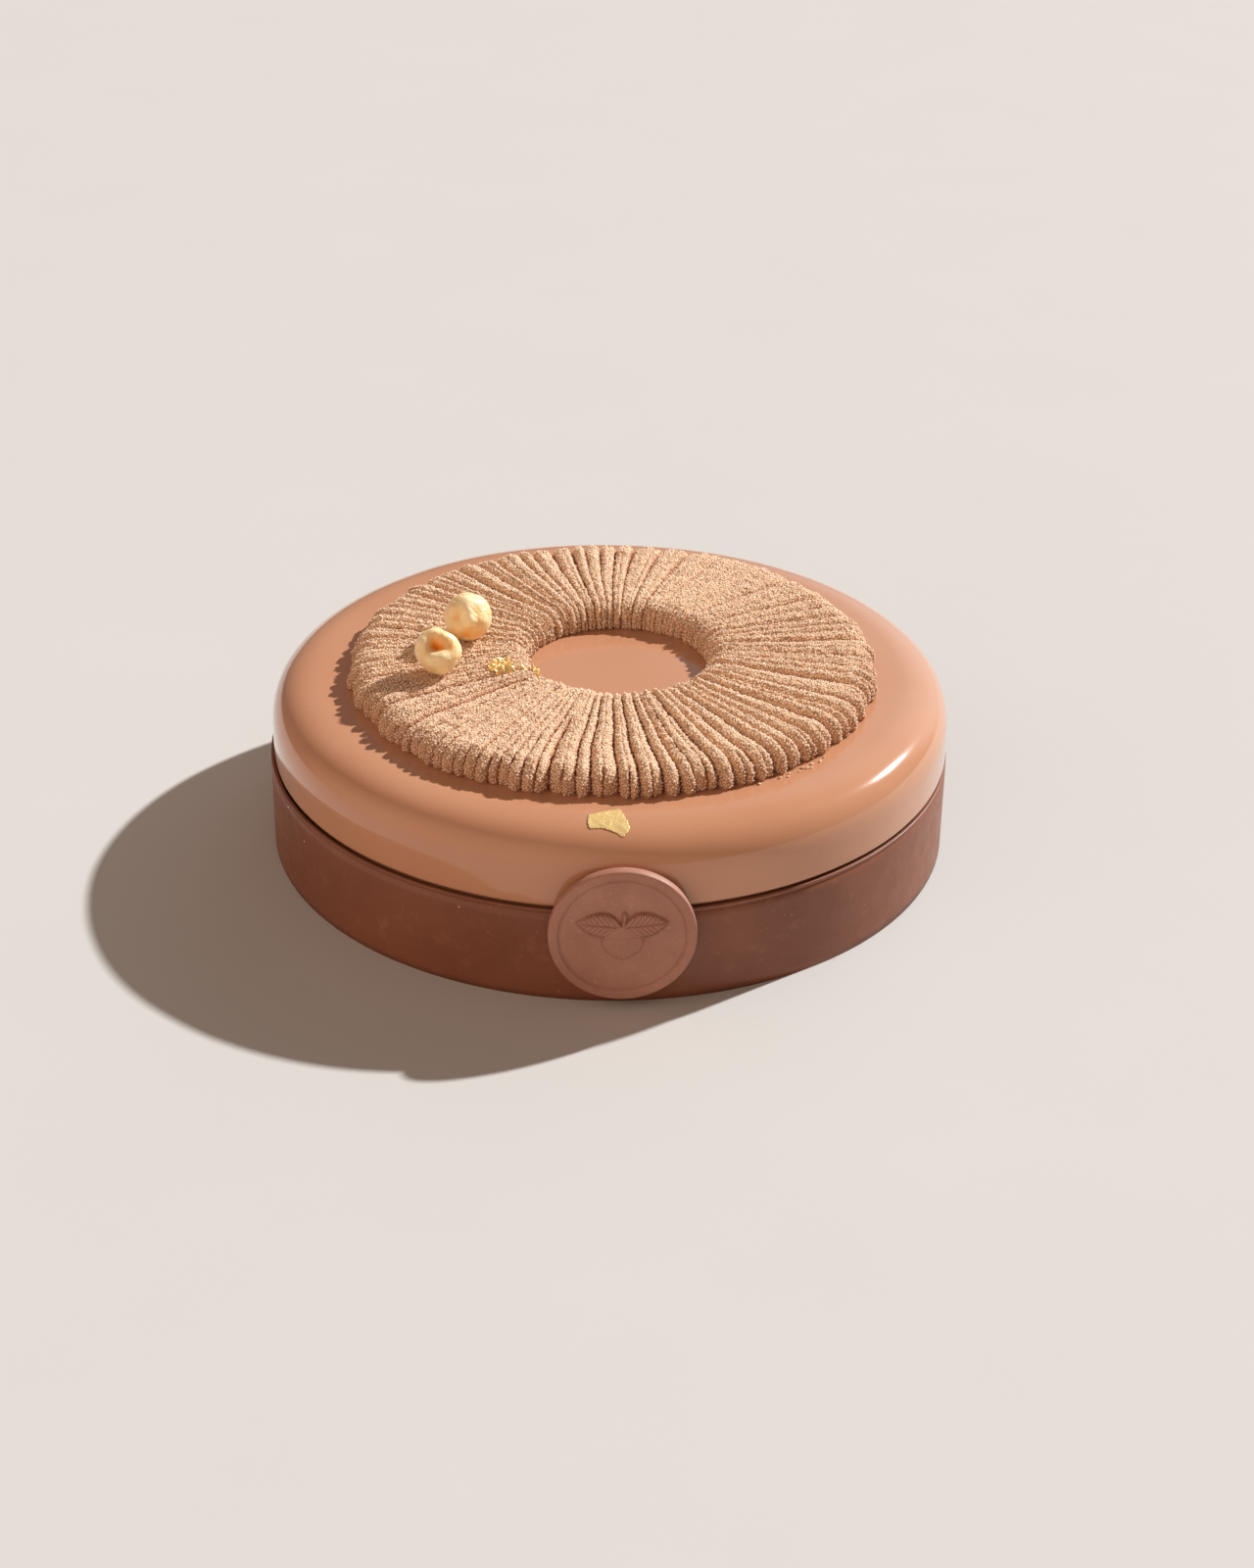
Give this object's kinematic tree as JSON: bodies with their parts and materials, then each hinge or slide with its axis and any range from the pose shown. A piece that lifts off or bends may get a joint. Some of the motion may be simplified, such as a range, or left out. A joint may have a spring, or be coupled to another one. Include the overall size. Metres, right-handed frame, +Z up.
{
  "type": "hazelnut cake",
  "caption": "Uncut round glazed cake in a low chocolate band, with a pleated piped ring on top, blanched hazelnuts, gold leaf and a round chocolate seal.",
  "frame": {"origin": "centre of the round underside, on the surface that the cake rests on", "axes": "+Z up through the cake's middle; -Y towards the round seal at the front; +X to the right seen from the front"},
  "size_m": [0.1798, 0.1835, 0.0649],
  "materials": {
    "glaze": "glossy caramel-brown mirror glaze",
    "band_chocolate": "satin milk chocolate",
    "piped_cream": "fine grained velvet",
    "hazelnut": "blanched kernel",
    "gold_leaf": "crumpled leaf",
    "seal_chocolate": "matte milk chocolate"
  },
  "bodies": {
    "root": {"cake_body": "glaze", "chocolate_band": "band_chocolate", "piped_ring": "piped_cream", "hazelnut_whole": "hazelnut", "hazelnut_half": "hazelnut", "gold_leaf_front": "gold_leaf", "gold_leaf_ring": "gold_leaf", "gold_leaf_strip": "gold_leaf", "seal": "seal_chocolate"}
  },
  "joints": []
}
